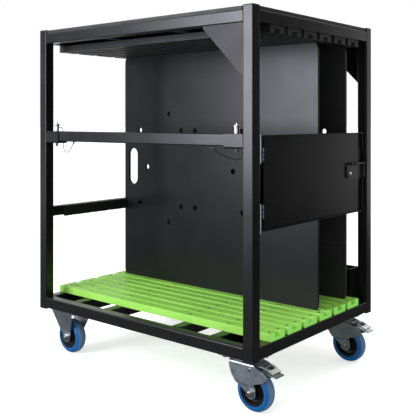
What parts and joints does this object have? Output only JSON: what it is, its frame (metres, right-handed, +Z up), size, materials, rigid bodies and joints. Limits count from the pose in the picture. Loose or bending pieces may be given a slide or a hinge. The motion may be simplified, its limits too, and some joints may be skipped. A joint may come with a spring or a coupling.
{
  "type": "base plate trolley",
  "caption": "Wheeled steel frame that carries heavy square base plates on edge in grooved slats, with a hinged end gate, a pinned lift-out front bar and braked swivel casters.",
  "frame": {"origin": "on the floor, under the middle of the overall box, brake pedals included", "axes": "+X along the long side towards the gate, +Y from the front bar to the rear, +Z up"},
  "size_m": [0.832, 0.6, 0.978],
  "materials": {
    "frame_paint": "fine-texture black powder coat, satin",
    "slat_green": "lime green polyethylene, sawn edges a little paler",
    "black_plastic": "black polyethylene, satin",
    "deck_board": "dark grey film-faced board",
    "plate_paint": "black powder coat, satin",
    "zinc": "bright zinc plating",
    "bright_steel": "bright steel",
    "wire_coat": "grey coated wire",
    "rim_black": "moulded nylon, half gloss",
    "tyre_blue": "blue elastic rubber, matt tread"
  },
  "bodies": {
    "chassis": {"post_front_left": "frame_paint", "post_front_right": "frame_paint", "post_rear_left": "frame_paint", "post_rear_right": "frame_paint", "bottom_rail_front": "frame_paint", "bottom_rail_rear": "frame_paint", "bottom_rail_left": "frame_paint", "bottom_rail_right": "frame_paint", "top_rail_front": "frame_paint", "top_rail_rear": "frame_paint", "top_rail_left": "frame_paint", "top_rail_right": "frame_paint", "cross_bearers": "frame_paint", "left_rail": "frame_paint", "gussets": "frame_paint", "bar_saddles": "frame_paint", "caster_mount_plates": "frame_paint", "parts_bin": "frame_paint", "floor_slat_1": "slat_green", "floor_slat_2": "slat_green", "floor_slat_3": "slat_green", "floor_slat_4": "slat_green", "floor_slat_5": "slat_green", "floor_slat_6": "slat_green", "roof_slats": "black_plastic", "left_comb": "black_plastic", "post_caps": "black_plastic", "deck_panel": "deck_board", "fixed_brackets": "zinc", "swivel_heads": "zinc", "hinge_pintles": "zinc", "slat_screws": "bright_steel", "fixed_axles": "bright_steel", "caster_fixings": "bright_steel"},
    "gate": {"gate_panel": "frame_paint", "gate_hinge_leaves": "zinc", "latch_rivet": "bright_steel", "latch_plate": "frame_paint"},
    "latch_bolt": {"latch_bolt": "bright_steel"},
    "front_bar": {"front_bar": "frame_paint", "lanyard_left": "wire_coat", "lanyard_right": "wire_coat"},
    "pin_left": {"pin_left": "bright_steel"},
    "pin_right": {"pin_right": "bright_steel"},
    "plate_front": {"base_plate_front": "plate_paint"},
    "plate_rear": {"base_plate_rear": "plate_paint"},
    "caster_front": {"fork_front": "zinc", "fork_axle_front": "bright_steel"},
    "caster_rear": {"fork_rear": "zinc", "fork_axle_rear": "bright_steel"},
    "pedal_front": {"brake_pedal_front": "zinc"},
    "pedal_rear": {"brake_pedal_rear": "zinc"},
    "wheel_front_left": {"rim_front_left": "rim_black", "tyre_front_left": "tyre_blue"},
    "wheel_rear_left": {"rim_rear_left": "rim_black", "tyre_rear_left": "tyre_blue"},
    "wheel_front_right": {"rim_front_right": "rim_black", "tyre_front_right": "tyre_blue"},
    "wheel_rear_right": {"rim_rear_right": "rim_black", "tyre_rear_right": "tyre_blue"}
  },
  "joints": [
    {"name": "gate_hinge", "type": "hinge", "parent": "chassis", "child": "gate", "pos_m": [0.382, -0.2657, 0.555], "axis": [0, 0, -1], "range_deg": [0, 135]},
    {"name": "latch_slide", "type": "slide", "parent": "gate", "child": "latch_bolt", "axis": [0, 1, 0], "range_m": [0, 0.012]},
    {"name": "bar_lift", "type": "slide", "parent": "chassis", "child": "front_bar", "axis": [0, 0, 1], "range_m": [0, 0.045]},
    {"name": "pin_left_pull", "type": "slide", "parent": "front_bar", "child": "pin_left", "axis": [0, 0, 1], "range_m": [0, 0.05]},
    {"name": "pin_right_pull", "type": "slide", "parent": "front_bar", "child": "pin_right", "axis": [0, 0, 1], "range_m": [0, 0.05]},
    {"name": "plate_front_slide", "type": "slide", "parent": "chassis", "child": "plate_front", "axis": [1, 0, 0], "range_m": [0, 0.008]},
    {"name": "plate_rear_slide", "type": "slide", "parent": "chassis", "child": "plate_rear", "axis": [1, 0, 0], "range_m": [0, 0.008]},
    {"name": "caster_front_swivel", "type": "hinge", "parent": "chassis", "child": "caster_front", "pos_m": [0.314, -0.234, 0.116], "axis": [0, 0, 1], "continuous": true},
    {"name": "wheel_front_right_spin", "type": "hinge", "parent": "caster_front", "child": "wheel_front_right", "pos_m": [0.346, -0.234, 0.05], "axis": [0, 1, 0], "continuous": true},
    {"name": "pedal_front_press", "type": "hinge", "parent": "caster_front", "child": "pedal_front", "pos_m": [0.346, -0.234, 0.1065], "axis": [0, 1, 0], "range_deg": [0, 10]},
    {"name": "wheel_front_left_spin", "type": "hinge", "parent": "chassis", "child": "wheel_front_left", "pos_m": [-0.342, -0.234, 0.05], "axis": [0, 1, 0], "continuous": true},
    {"name": "caster_rear_swivel", "type": "hinge", "parent": "chassis", "child": "caster_rear", "pos_m": [0.314, 0.234, 0.116], "axis": [0, 0, 1], "continuous": true},
    {"name": "wheel_rear_right_spin", "type": "hinge", "parent": "caster_rear", "child": "wheel_rear_right", "pos_m": [0.346, 0.234, 0.05], "axis": [0, 1, 0], "continuous": true},
    {"name": "pedal_rear_press", "type": "hinge", "parent": "caster_rear", "child": "pedal_rear", "pos_m": [0.346, 0.234, 0.1065], "axis": [0, 1, 0], "range_deg": [0, 10]},
    {"name": "wheel_rear_left_spin", "type": "hinge", "parent": "chassis", "child": "wheel_rear_left", "pos_m": [-0.342, 0.234, 0.05], "axis": [0, 1, 0], "continuous": true}
  ]
}
